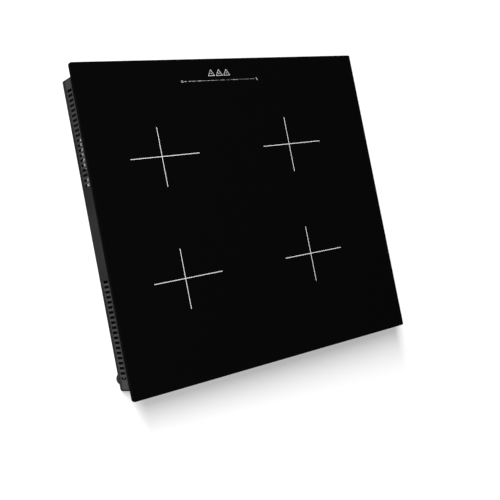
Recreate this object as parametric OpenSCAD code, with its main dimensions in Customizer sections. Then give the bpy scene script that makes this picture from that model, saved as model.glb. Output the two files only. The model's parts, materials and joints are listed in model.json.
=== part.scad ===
// Built-in electric induction cooktop: a black glass plate with four cooking zones over a steel tray.
// +Z points out of the cooking surface and the user stands at -Y.
// The origin is on the surface that the rubber feet stand on, under the middle of the glass.

/* [Glass] */
// Width of the glass plate
glass_w = 590; // [580:1:600]
// Depth of the glass plate, front to back
glass_d = 520; // [510:1:530]
// Thickness of the glass plate
glass_t = 4; // [4:0.5:6]
// Radius of the glass plate's corners
glass_corner_r = 5; // [2:0.5:10]
// Width of the ground bevel round the upper edge
glass_bevel = 1; // [0.5:0.1:1.5]

/* [Chassis] */
// Outer width of the steel tray
tray_w = 562; // [554:1:566]
// Outer depth of the steel tray
tray_d = 494; // [490:1:496]
// Height of the tray's walls
tray_h = 56; // [56:1:60]
// Sheet thickness of the tray
sheet_t = 1; // [0.8:0.1:1.2]
// Outer radius of the tray's upright corners
tray_corner_r = 6; // [4:0.5:8]
// Outer radius of the bend between floor and walls
bend_r = 3; // [2:0.5:4]
// Height of the rubber feet under the tray
foot_h = 8; // [6:1:10]
// Diameter of a rubber foot
foot_dia = 20; // [16:1:20]

/* [Side vents] */
// Number of slots in each of a wall's two groups
slot_count = 20; // [10:1:20]
// Distance between neighbouring slots
slot_pitch = 7.9; // [7:0.1:7.9]
// Width of a slot
slot_w = 4.2; // [3:0.1:4.5]
// Height of a slot
slot_h = 15.5; // [10:0.5:20]
// Distance from the middle of the wall to the first slot of a group
slot_start = 76; // [60:1:76]

/* [Cooking zones] */
// X of the left pair of zones
zone_left_x = -160; // [-162:1:-158]
// X of the right pair of zones
zone_right_x = 105; // [100:1:106]
// Y of the rear pair of zones
zone_rear_y = 103; // [101:1:104]
// Y of the front pair of zones
zone_front_y = -95; // [-96:1:-94]
// Radius of a coil carrier
carrier_r = 93; // [90:1:94]
// Outer radius of the copper winding
winding_r = 88; // [80:1:88]
// Number of ferrite bars under each coil
ferrite_count = 8; // [4:1:8]

/* [Cooling] */
// Number of blades on a blower's rotor
blade_count = 30; // [20:1:36]
// Outer radius of a blower's rotor
rotor_r = 42; // [38:1:42]
// Radius of a blower's shaft
shaft_r = 1.5; // [1.5:0.1:2]
// Number of fins on a heat sink
fin_count = 12; // [8:1:14]

/* [Mains connection] */
// Radius of the hole that the mains cable passes through
cable_hole_r = 6.25; // [5:0.25:6.5]
// Number of ways in the terminal block
terminal_ways = 5; // [3:1:5]

/* [Hidden] */
$fn = 48;
MINUS_PLUS = [-1, 1];

// Levels, from the floor up
floor_z = foot_h + sheet_t;
tray_top_z = foot_h + tray_h;
seat_z = tray_top_z - 1;
glass_z = tray_top_z + 1;
top_z = glass_z + glass_t;

// Inner faces of the tray's walls
wall_x = tray_w / 2 - sheet_t;
wall_y = tray_d / 2 - sheet_t;

// Rubber gasket under the rim of the glass
gasket_w = glass_w - 6;
gasket_d = glass_d - 6;
gasket_band = 7;

// Angle rails that are bonded to the glass and screwed to the front and rear walls
rail_l = 480;
rail_t = 1;
rail_leg = 16;
rail_drop = 14;
bond_t = 0.8;
rail_z = glass_z - bond_t;
rail_screw_x = [-180, 0, 180];
rail_screw_z = rail_z - 9;
screw_r = 1.95;
screw_hole_r = 2.1;

// Feet, and the holes for the clamps that hold the cooktop in a worktop
front_foot = [tray_w / 2 - foot_dia / 2, 228];
rear_foot = [250, 180];
FEET = [
    for (s = MINUS_PLUS) [s * front_foot.x, -front_foot.y],
    for (s = MINUS_PLUS) [s * rear_foot.x, rear_foot.y]
];
clamp_hole = [267, 120];
clamp_hole_r = 2.1;

// Left and right power units, one under each pair of zones
UNIT_X = [zone_left_x, zone_right_x];
ZONE_Y = [zone_front_y, zone_rear_y];

// Coil pack: a plate on springs that carries two coils up against the glass
plate_w = 190;
plate_t = 1.5;
plate_z = 46;
plate_mid_y = (zone_front_y + zone_rear_y) / 2;
plate_d = zone_rear_y - zone_front_y + 2 * carrier_r;
spring_at = [86, plate_d / 2 - 8];
spring_r = 5;
spring_wire_r = 0.6;
spring_turns = 7;
carrier_z = 54;
carrier_t = 1.5;
winding_z = carrier_z + carrier_t;
winding_t = 5;
insulation_z = 61.5;
hub_r = 13;
lead_r = 2;
lead_notch_w = 24;
lead_gap = 0.3;
ferrite_l = 58;
ferrite_w = 12;
ferrite_t = 5;

// Electronics: a plastic tray with a power board, and a blower that cools its heat sink
board_w = 176;
board_y = [-40, 150];
board_z = 12;
board_t = 1.6;
board_top = board_z + board_t;
sink_x = 23;
sink_w = 66;
sink_l = 110;
sink_y = -36;
sink_base_z = board_top + 5.4;
sink_top_z = 42;
fan_x = -10;
fan_y = -110;
fan_h = 27.5;
fan_wall = 1.5;
scroll_r = 45;
scroll_growth = 14;
outlet = [14, scroll_r + scroll_growth, 66];
intake_r = 36;
GRILLE_RINGS = [[8, 13], [17, 22], [26, 31]];
shaft_gap = 0.03;
lead_terminal_x = -80;
lane_x = -113.3;
twist_r = 2.75;
LEAD_TERMINALS_Y = [66, 78, 97, 109];
ribbon_x = 59;
ribbon_w = 16;
supply_x = 84;
supply_y = 106;

// Filter board beside the right power unit
filter_x = [205, 261];
filter_y = [-60, 150];
filter_z = 16;
supply_socket_x = 208;

// Terminal box in the right rear corner, with a hinged cover in the rear wall
box_x = [168, 268];
box_y = 200;
box_top_z = 49.5;
box_wall = 2;
cover_x = [200, 264];
cover_h = 30;
cover_t = 2;
cover_y = tray_d / 2 - cover_t;
hinge_y = cover_y - 0.5;
hinge_z = 16;
hinge_r = 2;
pin_r = 1.4;
pin_gap = 0.05;
cover_gap = 0.5;
cable_at = [184, 28];
grommet_r = 9.5;
mains_x = cover_x[0] + 10.5;

// Touch unit behind the front edge
touch_w = 290;
touch_y = [-224, -191];
touch_z = 50;
touch_board_z = 53;
TOUCH_KEYS_X = [for (i = [-4 : 4]) i * 26];
DISPLAYS_X = [for (i = [-2 : 1]) (i + 0.5) * 52];

// ---- Shared shapes ----

// Rectangle with round corners, centred on the origin
module round_rect(w, d, r) {
    square([w - 2 * r, d], center = true);
    square([w, d - 2 * r], center = true);
    for (x = MINUS_PLUS, y = MINUS_PLUS)
        translate([x * (w / 2 - r), y * (d / 2 - r)]) circle(r);
}

// Side view of a box with round lower corners, standing on the x axis
module round_bottom(w, h, r) {
    translate([-w / 2, r]) square([w, h - r]);
    translate([-w / 2 + r, 0]) square([w - 2 * r, r]);
    for (x = MINUS_PLUS)
        translate([x * (w / 2 - r), r]) circle(r);
}

// Box with round upright corners and a round bend along its lower edges
module pan(w, d, h, corner, bend) {
    intersection() {
        linear_extrude(h) round_rect(w, d, corner);
        translate([0, (d + 2) / 2, 0]) rotate([90, 0, 0]) linear_extrude(d + 2) round_bottom(w, h, bend);
        translate([-(w + 2) / 2, 0, 0]) rotate([90, 0, 90]) linear_extrude(w + 2) round_bottom(d, h, bend);
    }
}

// Flat strip of thickness t that follows points in the plane
module strip(points, t) {
    for (i = [1 : len(points) - 1]) {
        run = points[i] - points[i - 1];
        translate(points[i - 1]) rotate(atan2(run.y, run.x)) translate([0, -t / 2]) square([norm(run), t]);
    }
    for (i = [1 : len(points) - 2])
        translate(points[i]) circle(t / 2);
}

// Block between two corners
module block(low, high) {
    translate(low) cube(high - low);
}

// Cylinder along +Y
module rod_y(r, l) {
    rotate([-90, 0, 0]) cylinder(r = r, h = l);
}

// Cylinder along +X
module rod_x(r, l) {
    rotate([0, 90, 0]) cylinder(r = r, h = l);
}

function unit(v) = v / norm(v);
function along(path, i) = unit(path[min(i + 1, len(path) - 1)] - path[max(i - 1, 0)]);

// Round tube that follows a path; across is a direction that the path never runs in
module tube(path, r, across, sides = 8) {
    rings = len(path);
    points = [
        for (i = [0 : rings - 1])
            let (t = along(path, i), u = unit(cross(t, across)), v = cross(t, u))
            for (k = [0 : sides - 1])
                path[i] + r * (cos(360 * k / sides) * u + sin(360 * k / sides) * v)
    ];
    faces = [
        [for (k = [0 : sides - 1]) k],
        [for (k = [0 : sides - 1]) rings * sides - 1 - k],
        for (i = [0 : rings - 2], k = [0 : sides - 1], half = [0, 1])
            let (a = i * sides + k, b = i * sides + (k + 1) % sides)
            half == 0 ? [b, a, a + sides] : [b, a + sides, b + sides]
    ];
    polyhedron(points, faces, convexity = 6);
}

// Smooth curve through points, with steps pieces between each two
function curve_at(a, b, c, d, s) =
    0.5 * (2 * b + (c - a) * s + (2 * a - 5 * b + 4 * c - d) * s * s + (3 * b - a - 3 * c + d) * s * s * s);
function smooth(p, steps = 4) = [
    for (i = [0 : len(p) - 2], k = [0 : steps - 1])
        curve_at(p[max(i - 1, 0)], p[i], p[i + 1], p[min(i + 2, len(p) - 1)], k / steps),
    p[len(p) - 1]
];

// Compression spring from z = 0 to height h, whose first and last turns lie close together
module coil_spring(r, wire_r, h, turns) {
    steps = 10;
    end_rise = 2.2 * wire_r;
    open_rise = (h - 2 * wire_r - 2 * end_rise) / (turns - 2);
    path = [
        for (i = [0 : turns * steps])
            let (turn = i / steps, open = min(max(turn - 1, 0), turns - 2))
            [r * cos(360 * turn), r * sin(360 * turn), wire_r + (turn - open) * end_rise + open * open_rise]
    ];
    tube(path, wire_r, [0, 0, 1], 6);
}

// ---- Glass and its frame ----

// Side view of a plate of width w with a bevel on its upper corners
module bevelled(w) {
    polygon([
        [-w / 2, 0], [w / 2, 0], [w / 2, glass_t - glass_bevel], [w / 2 - glass_bevel, glass_t],
        [-w / 2 + glass_bevel, glass_t], [-w / 2, glass_t - glass_bevel]
    ]);
}

module glass_top() {
    color([0.02, 0.02, 0.025])
    translate([0, 0, glass_z])
    intersection() {
        linear_extrude(glass_t) round_rect(glass_w, glass_d, glass_corner_r);
        translate([0, glass_d / 2 + 1, 0]) rotate([90, 0, 0]) linear_extrude(glass_d + 2) bevelled(glass_w);
        translate([-glass_w / 2 - 1, 0, 0]) rotate([90, 0, 90]) linear_extrude(glass_w + 2) bevelled(glass_d);
    }
}

module rim_gasket() {
    color([0.08, 0.08, 0.08])
    translate([0, 0, seat_z])
    linear_extrude(glass_z - seat_z) difference() {
        round_rect(gasket_w, gasket_d, glass_corner_r);
        round_rect(gasket_w - 2 * gasket_band, gasket_d - 2 * gasket_band, glass_corner_r);
    }
}

// Beads that bond the rails to the glass
module bond_silicone() {
    color([0.12, 0.12, 0.12])
    for (s = MINUS_PLUS)
        translate([-rail_l / 2 + 2, s * (wall_y - rail_leg / 2) - 6, rail_z])
            cube([rail_l - 4, 12, bond_t]);
}

// Angle rail along the rear wall, with its screw holes
module glass_rail() {
    difference() {
        translate([-rail_l / 2, 0, 0]) rotate([90, 0, 90]) linear_extrude(rail_l) {
            translate([wall_y - rail_leg, rail_z - rail_t]) square([rail_leg, rail_t]);
            translate([wall_y - rail_t, rail_z - rail_drop]) square([rail_t, rail_drop]);
        }
        for (x = rail_screw_x)
            translate([x, wall_y - 2, rail_screw_z]) rod_y(screw_r, 3);
    }
}

module glass_rail_front() {
    color([0.7, 0.71, 0.72]) mirror([0, 1, 0]) glass_rail();
}

module glass_rail_rear() {
    color([0.7, 0.71, 0.72]) glass_rail();
}

// Low-head screws through the front and rear walls into the rails
module rail_screws() {
    color([0.65, 0.66, 0.68])
    for (flip = [0, 1], x = rail_screw_x)
        mirror([0, flip, 0]) translate([x, 0, rail_screw_z]) {
            translate([0, tray_d / 2, 0]) rod_y(3.6, 1);
            translate([0, wall_y - 5, 0]) rod_y(screw_r, sheet_t + 5);
        }
}

// ---- Chassis ----

// Row of upright vent slots in both side walls
module vent_slots() {
    for (s = MINUS_PLUS, i = [0 : slot_count - 1])
        translate([-tray_w / 2 - 1, s * (slot_start + i * slot_pitch) - slot_w / 2, foot_h + 12])
            cube([tray_w + 2, slot_w, slot_h]);
}

// Ring slots in the floor under a blower's intake, crossed by four spokes
module floor_grille() {
    difference() {
        for (ring = GRILLE_RINGS)
            difference() {
                cylinder(r = ring[1], h = sheet_t + 2);
                translate([0, 0, -1]) cylinder(r = ring[0], h = sheet_t + 4);
            }
        for (a = [45, 135])
            rotate(a) translate([-50, -2, -1]) cube([100, 4, sheet_t + 4]);
    }
}

module chassis_tray() {
    color([0.2, 0.2, 0.21])
    difference() {
        translate([0, 0, foot_h]) pan(tray_w, tray_d, tray_h, tray_corner_r, bend_r);
        translate([0, 0, floor_z])
            pan(2 * wall_x, 2 * wall_y, tray_h + 1, tray_corner_r - sheet_t, bend_r - sheet_t);
        vent_slots();
        for (x = UNIT_X)
            translate([x + fan_x, fan_y, foot_h - 1]) floor_grille();
        for (p = FEET)
            translate([p.x, p.y, foot_h - 1]) cylinder(r = screw_r, h = sheet_t + 2);
        for (x = MINUS_PLUS, y = MINUS_PLUS)
            translate([x * clamp_hole.x, y * clamp_hole.y, foot_h - 1])
                cylinder(r = clamp_hole_r, h = sheet_t + 2);
        for (flip = [0, 1], x = rail_screw_x)
            mirror([0, flip, 0]) translate([x, wall_y - 1, rail_screw_z]) rod_y(screw_hole_r, sheet_t + 2);
        block([cover_x[0] - cover_gap, wall_y - 1, hinge_z - hinge_r - 1.2],
              [cover_x[1] + cover_gap, wall_y + sheet_t + 1, hinge_z + cover_h + cover_gap]);
        translate([cable_at[0], wall_y - 1, cable_at[1]]) rod_y(grommet_r, sheet_t + 2);
    }
}

// Four round feet, hollow in the middle for a screw
module rubber_feet() {
    r = foot_dia / 2;
    color([0.1, 0.1, 0.1])
    for (p = FEET)
        translate([p.x, p.y, 0]) rotate_extrude()
            polygon([
                [5, 0], [r - 2.5, 0], [r - 1.2, 0.5], [r - 0.6, 1.6], [r, foot_h], [screw_r, foot_h],
                [screw_r, 5], [5, 5]
            ]);
}

module foot_screws() {
    color([0.65, 0.66, 0.68])
    for (p = FEET)
        translate([p.x, p.y, 0]) {
            translate([0, 0, 2.6]) cylinder(r = 3.9, h = 2.4);
            translate([0, 0, 5]) cylinder(r = screw_r, h = 8);
        }
}

// Plastic posts on the floor: one inside each coil spring, and four that carry the filter board
module floor_posts() {
    color([0.24, 0.24, 0.25]) {
        for (x = UNIT_X, sx = MINUS_PLUS, sy = MINUS_PLUS)
            translate([x + sx * spring_at.x, plate_mid_y + sy * spring_at.y, floor_z]) {
                cylinder(r = 3.2, h = 18);
                translate([0, 0, 18]) cylinder(r1 = 3.2, r2 = 1.6, h = 4);
            }
        for (x = [filter_x[0] + 6, filter_x[1] - 6], y = [filter_y[0] + 8, filter_y[1] - 8])
            translate([x, y, floor_z]) cylinder(r = 4, h = filter_z - floor_z);
    }
}

// ---- Coil packs ----

// Aluminium plate under the two coils of one side, with down-turned side edges
module coil_plate(x) {
    difference() {
        translate([x - plate_w / 2, plate_mid_y - plate_d / 2, 0]) {
            translate([0, 0, plate_z]) cube([plate_w, plate_d, plate_t]);
            for (edge = [0, plate_w - plate_t])
                translate([edge, 20, plate_z - 1.5]) cube([plate_t, plate_d - 40, 2]);
        }
        for (y = ZONE_Y) {
            translate([x, y, plate_z - 2]) cylinder(r = 9, h = 6);
            for (a = [45 : 90 : 315])
                translate([x, y, plate_z - 2]) rotate(a) translate([70, 0, 0]) cylinder(r = 6, h = 6);
        }
    }
}

module coil_plate_left() {
    color([0.75, 0.76, 0.78]) coil_plate(zone_left_x);
}

module coil_plate_right() {
    color([0.75, 0.76, 0.78]) coil_plate(zone_right_x);
}

// Plastic disc with a rim and a hub, and a pair of ribs below it for each ferrite bar
module coil_carrier(x, y) {
    color([0.16, 0.15, 0.14])
    translate([x, y, 0])
    difference() {
        union() {
            translate([0, 0, carrier_z]) cylinder(r = carrier_r, h = carrier_t);
            translate([0, 0, carrier_z]) difference() {
                cylinder(r = carrier_r, h = insulation_z - carrier_z);
                translate([0, 0, -1]) cylinder(r = carrier_r - 2, h = 20);
            }
            translate([0, 0, carrier_z]) cylinder(r = hub_r, h = insulation_z - carrier_z);
            for (i = [0 : ferrite_count - 1], s = MINUS_PLUS)
                rotate(i * 360 / ferrite_count)
                    translate([25, s * (ferrite_w / 2 + 0.9) - 0.8, plate_z + plate_t])
                        cube([ferrite_l - 2, 1.6, carrier_z - plate_z]);
        }
        translate([0, 0, carrier_z - 2]) cylinder(r = 7.6, h = 20);
        translate([-carrier_r - 1, -lead_notch_w / 2, winding_z]) cube([4, lead_notch_w, 10]);
    }
}

module coil_carrier_front_left() {
    coil_carrier(zone_left_x, zone_front_y);
}

module coil_carrier_rear_left() {
    coil_carrier(zone_left_x, zone_rear_y);
}

module coil_carrier_front_right() {
    coil_carrier(zone_right_x, zone_front_y);
}

module coil_carrier_rear_right() {
    coil_carrier(zone_right_x, zone_rear_y);
}

// Flat winding in two bands with a gap between them, bound together at one spoke
module coil_winding(x, y) {
    color([0.72, 0.42, 0.22])
    translate([x, y, winding_z]) {
        difference() {
            cylinder(r = winding_r, h = winding_t);
            translate([0, 0, -1]) cylinder(r = 60, h = winding_t + 2);
        }
        difference() {
            cylinder(r = 52, h = winding_t);
            translate([0, 0, -1]) cylinder(r = 22, h = winding_t + 2);
        }
        translate([-61, -5, 0]) cube([10, 4, winding_t]);
    }
}

module coil_winding_front_left() {
    coil_winding(zone_left_x, zone_front_y);
}

module coil_winding_rear_left() {
    coil_winding(zone_left_x, zone_rear_y);
}

module coil_winding_front_right() {
    coil_winding(zone_right_x, zone_front_y);
}

module coil_winding_rear_right() {
    coil_winding(zone_right_x, zone_rear_y);
}

// Ferrite bars under both coils of one side, set like spokes
module ferrite_bars(x) {
    color([0.22, 0.22, 0.24])
    for (y = ZONE_Y, i = [0 : ferrite_count - 1])
        translate([x, y, carrier_z - ferrite_t]) rotate(i * 360 / ferrite_count)
            translate([24, -ferrite_w / 2, 0]) cube([ferrite_l, ferrite_w, ferrite_t]);
}

module ferrite_bars_left() {
    ferrite_bars(zone_left_x);
}

module ferrite_bars_right() {
    ferrite_bars(zone_right_x);
}

// Temperature sensor in the hub of each coil, with a ceramic tip under the glass
module zone_sensors(x) {
    color([0.92, 0.91, 0.86])
    for (y = ZONE_Y)
        translate([x, y, 0]) {
            translate([0, 0, carrier_z]) cylinder(r = 7.6, h = 6.5);
            translate([0, 0, carrier_z + 6.5]) cylinder(r = 5, h = glass_z - carrier_z - 6.7);
        }
}

module zone_sensors_left() {
    zone_sensors(zone_left_x);
}

module zone_sensors_right() {
    zone_sensors(zone_right_x);
}

// Felt discs that keep the heat of the glass off both coils of one side
module insulation_discs(x) {
    color([0.9, 0.89, 0.84])
    for (y = ZONE_Y)
        translate([x, y, insulation_z]) difference() {
            cylinder(r = carrier_r - 1, h = glass_z - insulation_z);
            translate([0, 0, -1]) cylinder(r = 8, h = 10);
        }
}

module insulation_discs_left() {
    insulation_discs(zone_left_x);
}

module insulation_discs_right() {
    insulation_discs(zone_right_x);
}

// Four compression springs between the floor and one coil plate
module coil_springs(x) {
    color([0.3, 0.3, 0.32])
    for (sx = MINUS_PLUS, sy = MINUS_PLUS)
        translate([x + sx * spring_at.x, plate_mid_y + sy * spring_at.y, floor_z])
            coil_spring(spring_r, spring_wire_r, plate_z - floor_z, spring_turns);
}

module coil_springs_left() {
    coil_springs(zone_left_x);
}

module coil_springs_right() {
    coil_springs(zone_right_x);
}

// Routes of the leads from the rear coil, as X from the unit's middle, Y and Z: a spare loop hangs
// beside the vents, where the two leads are twisted once round each other
function rear_route(s) = [
    [-88.6, zone_rear_y + 6 * s, 58.5], [-97, zone_rear_y + 6 * s, 58.5], [-106, 108 + 5 * s, 57],
    [-112 + 2.2 * s, 118 + 3 * s, 53], [lane_x + twist_r * s, 133, 46], [lane_x + twist_r * s, 145, 39.5],
    [lane_x + twist_r * s, 150, 32], [lane_x + twist_r * s, 145, 25], [lane_x, 137, 24 + twist_r * s],
    [lane_x - twist_r * s, 129, 24], [lane_x, 121, 23.5 - twist_r * s], [lane_x + twist_r * s, 113.5, 23.5],
    [-110.5 + 3 * s, 107 + 3.5 * s, 22.3], [-104 + s, zone_rear_y + 6 * s, 20.2],
    [-96, zone_rear_y + 6 * s, 19.15], [lead_terminal_x - 5 - lead_gap, zone_rear_y + 6 * s, 19]
];

// Routes of the leads from the front coil, down along the wall and round to the terminals
function front_route(s) = [
    [-88.6, zone_front_y + 6 * s, 58.5], [-97, zone_front_y + 6 * s, 58.5], [-105, -86 + 8 * s, 57.5],
    [-112 + 2.2 * s, -66 + 4 * s, 54], [lane_x + twist_r * s, -35, 46], [lane_x + twist_r * s, 10, 35.5],
    [lane_x + twist_r * s, 48, 27.5], [lane_x, 60, 25 - twist_r * s], [lane_x - twist_r * s, 71, 24],
    [-113 - 2.5 * s, 80.5 + 2 * s, 24], [-110.4 - 1.8 * s, 86.1 + 4.1 * s, 24.3],
    [-106 - 0.8 * s, 87 + 4.8 * s, 24], [-102 + 0.4 * s, 83 + 4.8 * s, 22.3],
    [-98.4 + 0.6 * s, 76.5 + 5.1 * s, 20.2], [-93, 72 + 6 * s, 19.15],
    [lead_terminal_x - 5 - lead_gap, 72 + 6 * s, 19]
];

// Litz leads of both coils, over the plate's left edge and down to the power board
module coil_leads(x) {
    color([0.88, 0.88, 0.85])
    for (s = MINUS_PLUS)
        translate([x, 0, 0]) {
            tube(smooth(rear_route(s), 3), lead_r, [1, 1, 0.02]);
            tube(smooth(front_route(s), 3), lead_r, [0.02, 0.02, 1]);
        }
}

module coil_leads_left() {
    coil_leads(zone_left_x);
}

module coil_leads_right() {
    coil_leads(zone_right_x);
}

// ---- Power electronics ----

function board_corners(x) = [
    for (sx = MINUS_PLUS, y = [board_y[0] + 8, board_y[1] - 8]) [x + sx * (board_w / 2 - 8), y]
];

// Open plastic tray with standoffs for the board
module electronics_tray(x) {
    color([0.24, 0.24, 0.25]) {
        difference() {
            block([x - board_w / 2 - 4, board_y[0] - 4, floor_z], [x + board_w / 2 + 4, board_y[1] + 4, 16]);
            block([x - board_w / 2 - 2.5, board_y[0] - 2.5, floor_z + 1.2],
                  [x + board_w / 2 + 2.5, board_y[1] + 2.5, 17]);
        }
        for (p = board_corners(x))
            translate([p.x, p.y, floor_z + 1]) difference() {
                cylinder(r = 4, h = board_z - floor_z - 1);
                translate([0, 0, 0.5]) cylinder(r = 1.4, h = 4);
            }
    }
}

module electronics_tray_left() {
    electronics_tray(zone_left_x);
}

module electronics_tray_right() {
    electronics_tray(zone_right_x);
}

// Circuit board with coil terminals, signal and supply sockets and a small transformer
module power_board(x) {
    color([0.1, 0.35, 0.2])
    difference() {
        block([x - board_w / 2, board_y[0], board_z], [x + board_w / 2, board_y[1], board_top]);
        for (p = board_corners(x))
            translate([p.x, p.y, board_z - 1]) cylinder(r = 1.8, h = 4);
    }
    color([0.8, 0.65, 0.3])
    for (y = LEAD_TERMINALS_Y)
        translate([x + lead_terminal_x, y, board_top]) block([-5, -4, 0], [4, 4, 8.5]);
    color([0.92, 0.92, 0.9]) {
        block([x + ribbon_x - 1, -38, board_top], [x + ribbon_x + ribbon_w + 1, -30, 23]);
        block([x + supply_x - 8, supply_y - 5, board_top], [x + supply_x, supply_y + 13, 25]);
    }
    color([0.85, 0.8, 0.3]) {
        block([x - 72, -14, board_top], [x - 44, 18, 17]);
        block([x - 68, -14, 17], [x - 48, 18, 34]);
    }
}

module power_board_left() {
    power_board(zone_left_x);
}

module power_board_right() {
    power_board(zone_right_x);
}

// Screws that hold both power boards on their standoffs
module board_screws() {
    color([0.7, 0.7, 0.72])
    for (x = UNIT_X, p = board_corners(x))
        translate([p.x, p.y, board_top]) {
            cylinder(r = 3, h = 1.8);
            translate([0, 0, -board_t - 1.4]) cylinder(r = 1.3, h = board_t + 2);
        }
}

// Aluminium extrusion: a base on two legs, with upright fins along the air stream
module heat_sink(x) {
    fin_gap = (sink_w - 1.6) / (fin_count - 1);
    color([0.78, 0.79, 0.8])
    translate([x + sink_x, sink_y + sink_l, 0])
    rotate([90, 0, 0]) linear_extrude(sink_l) {
        translate([-sink_w / 2, sink_base_z]) square([sink_w, 3]);
        for (s = MINUS_PLUS)
            translate([s * (sink_w / 2 - 1.5) - 1.5, board_top]) square([3, sink_base_z - board_top + 1]);
        for (i = [0 : fin_count - 1])
            translate([-sink_w / 2 + i * fin_gap, sink_base_z + 2])
                square([1.6, sink_top_z - sink_base_z - 2]);
    }
}

module heat_sink_left() {
    heat_sink(zone_left_x);
}

module heat_sink_right() {
    heat_sink(zone_right_x);
}

// Four transistors that lie on the board, clamped under the heat sink's base
module power_transistors(x) {
    color([0.13, 0.13, 0.14])
    for (i = [0 : 3])
        translate([x + sink_x - 8, sink_y + 14 + i * 24, board_top]) {
            cube([16, 20, 5]);
            for (leg = [2 : 5 : 12])
                translate([leg, -3, 0]) cube([1.2, 3.5, 0.8]);
        }
}

module power_transistors_left() {
    power_transistors(zone_left_x);
}

module power_transistors_right() {
    power_transistors(zone_right_x);
}

// Film capacitors beside the heat sink and two round ones behind it
module capacitors(x) {
    for (i = [0 : 2])
        color([0.2, 0.35, 0.6]) translate([x - 66, 28 + i * 24, board_top]) block([0, 0, 0], [34, 19, 26]);
    for (i = [0 : 1])
        color([0.12, 0.12, 0.16]) translate([x + 6 + i * 32, 112, board_top]) {
            cylinder(r = 11, h = 27);
            cylinder(r = 12.5, h = 3);
        }
}

module capacitors_left() {
    capacitors(zone_left_x);
}

module capacitors_right() {
    capacitors(zone_right_x);
}

// ---- Blowers ----

// Spiral outline of a blower's scroll with a straight outlet towards +Y, grown by a wall
module scroll_outline(grow) {
    polygon([for (a = [0 : 10 : 350]) (scroll_r + grow + scroll_growth * a / 360) * [cos(a), sin(a)]]);
    translate([outlet[0] - grow, -6]) square([outlet[1] - outlet[0] + 2 * grow, outlet[2] + 6]);
}

module blower_housing(x) {
    color([0.14, 0.14, 0.15])
    translate([x + fan_x, fan_y, floor_z]) difference() {
        linear_extrude(fan_h) scroll_outline(fan_wall);
        translate([0, 0, fan_wall]) linear_extrude(fan_h - 2 * fan_wall) {
            scroll_outline(0);
            translate([outlet[0], 0]) square([outlet[1] - outlet[0], outlet[2] + 2]);
        }
        translate([0, 0, -1]) cylinder(r = intake_r, h = fan_wall + 2);
    }
}

module blower_housing_left() {
    blower_housing(zone_left_x);
}

module blower_housing_right() {
    blower_housing(zone_right_x);
}

// Stator under the housing's roof, round a bearing tube
module blower_motor(x) {
    roof = floor_z + fan_h - fan_wall;
    translate([x + fan_x, fan_y, 0]) {
        color([0.75, 0.62, 0.25]) rotate_extrude() polygon([
            [shaft_r + shaft_gap, floor_z + 6.5], [4.2, floor_z + 6.5], [4.2, roof - 2], [16, roof - 2],
            [16, roof], [0, roof], [0, roof - 1], [shaft_r + shaft_gap, roof - 1]
        ]);
        color([0.7, 0.4, 0.2]) translate([0, 0, floor_z + 9]) linear_extrude(13) difference() {
            union() {
                circle(8);
                for (a = [0 : 60 : 300])
                    rotate(a) translate([6, -2.5]) square([7, 5]);
            }
            circle(4.2);
        }
    }
}

module blower_motor_left() {
    blower_motor(zone_left_x);
}

module blower_motor_right() {
    blower_motor(zone_right_x);
}

// Rotor: a cup with the shaft, a back plate, leaning blades and a ring at the intake end
module blower_rotor(x) {
    low = floor_z + 3.6;
    high = floor_z + 23.4;
    color([0.25, 0.25, 0.27])
    translate([x + fan_x, fan_y, 0]) {
        rotate_extrude() polygon([
            [0, low], [17, low], [17, high - 1.2], [rotor_r, high - 1.2], [rotor_r, high], [15, high],
            [15, low + 1.4], [shaft_r, low + 1.4], [shaft_r, low + 20], [0, low + 20]
        ]);
        rotate_extrude() translate([rotor_r - 4, low]) square([4, 1.2]);
        for (i = [0 : blade_count - 1])
            rotate(i * 360 / blade_count) translate([rotor_r - 6.5, 0, low + 0.4])
                rotate(35) translate([-5, -0.4, 0]) cube([10, 0.8, high - low - 1]);
    }
}

module blower_rotor_left() {
    blower_rotor(zone_left_x);
}

module blower_rotor_right() {
    blower_rotor(zone_right_x);
}

// ---- Mains filter and wiring ----

// Filter board with its sockets for the mains and for the two power boards
module filter_board() {
    color([0.12, 0.38, 0.22])
        block([filter_x[0], filter_y[0], filter_z], [filter_x[1], filter_y[1], filter_z + board_t]);
    color([0.9, 0.9, 0.86]) {
        block([filter_x[0] + 2, filter_y[1] - 14, filter_z + board_t], [filter_x[0] + 34, filter_y[1], 28]);
        block([supply_socket_x, supply_y - 5, filter_z + board_t], [supply_socket_x + 8, supply_y + 27, 28]);
    }
}

// Ring core on its base, standing on the filter board
module filter_choke() {
    color([0.25, 0.3, 0.25])
    translate([(filter_x[0] + filter_x[1]) / 2, 90, filter_z + board_t]) {
        cylinder(r = 20, h = 2);
        translate([0, 0, 2]) rotate_extrude() translate([9, 0]) square([10, 15]);
    }
}

module filter_capacitors() {
    color([0.85, 0.7, 0.2])
    for (i = [0 : 2])
        translate([filter_x[0] + 10, filter_y[0] + 16 + i * 34, filter_z + board_t]) cube([40, 18, 22]);
}

// Route of one mains lead from the terminal block to the filter board
function mains_route(i) = [
    [mains_x + 11 * i, box_y + 6, 16], [mains_x + 11 * i, 196, 15], [mains_x + 11 * i, 184, 14],
    [mains_x + 11 * i, 172, 17], [mains_x + 11 * i, 160, 22],
    [mains_x + 11 * i, filter_y[1] + lead_gap, 23]
];

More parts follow.
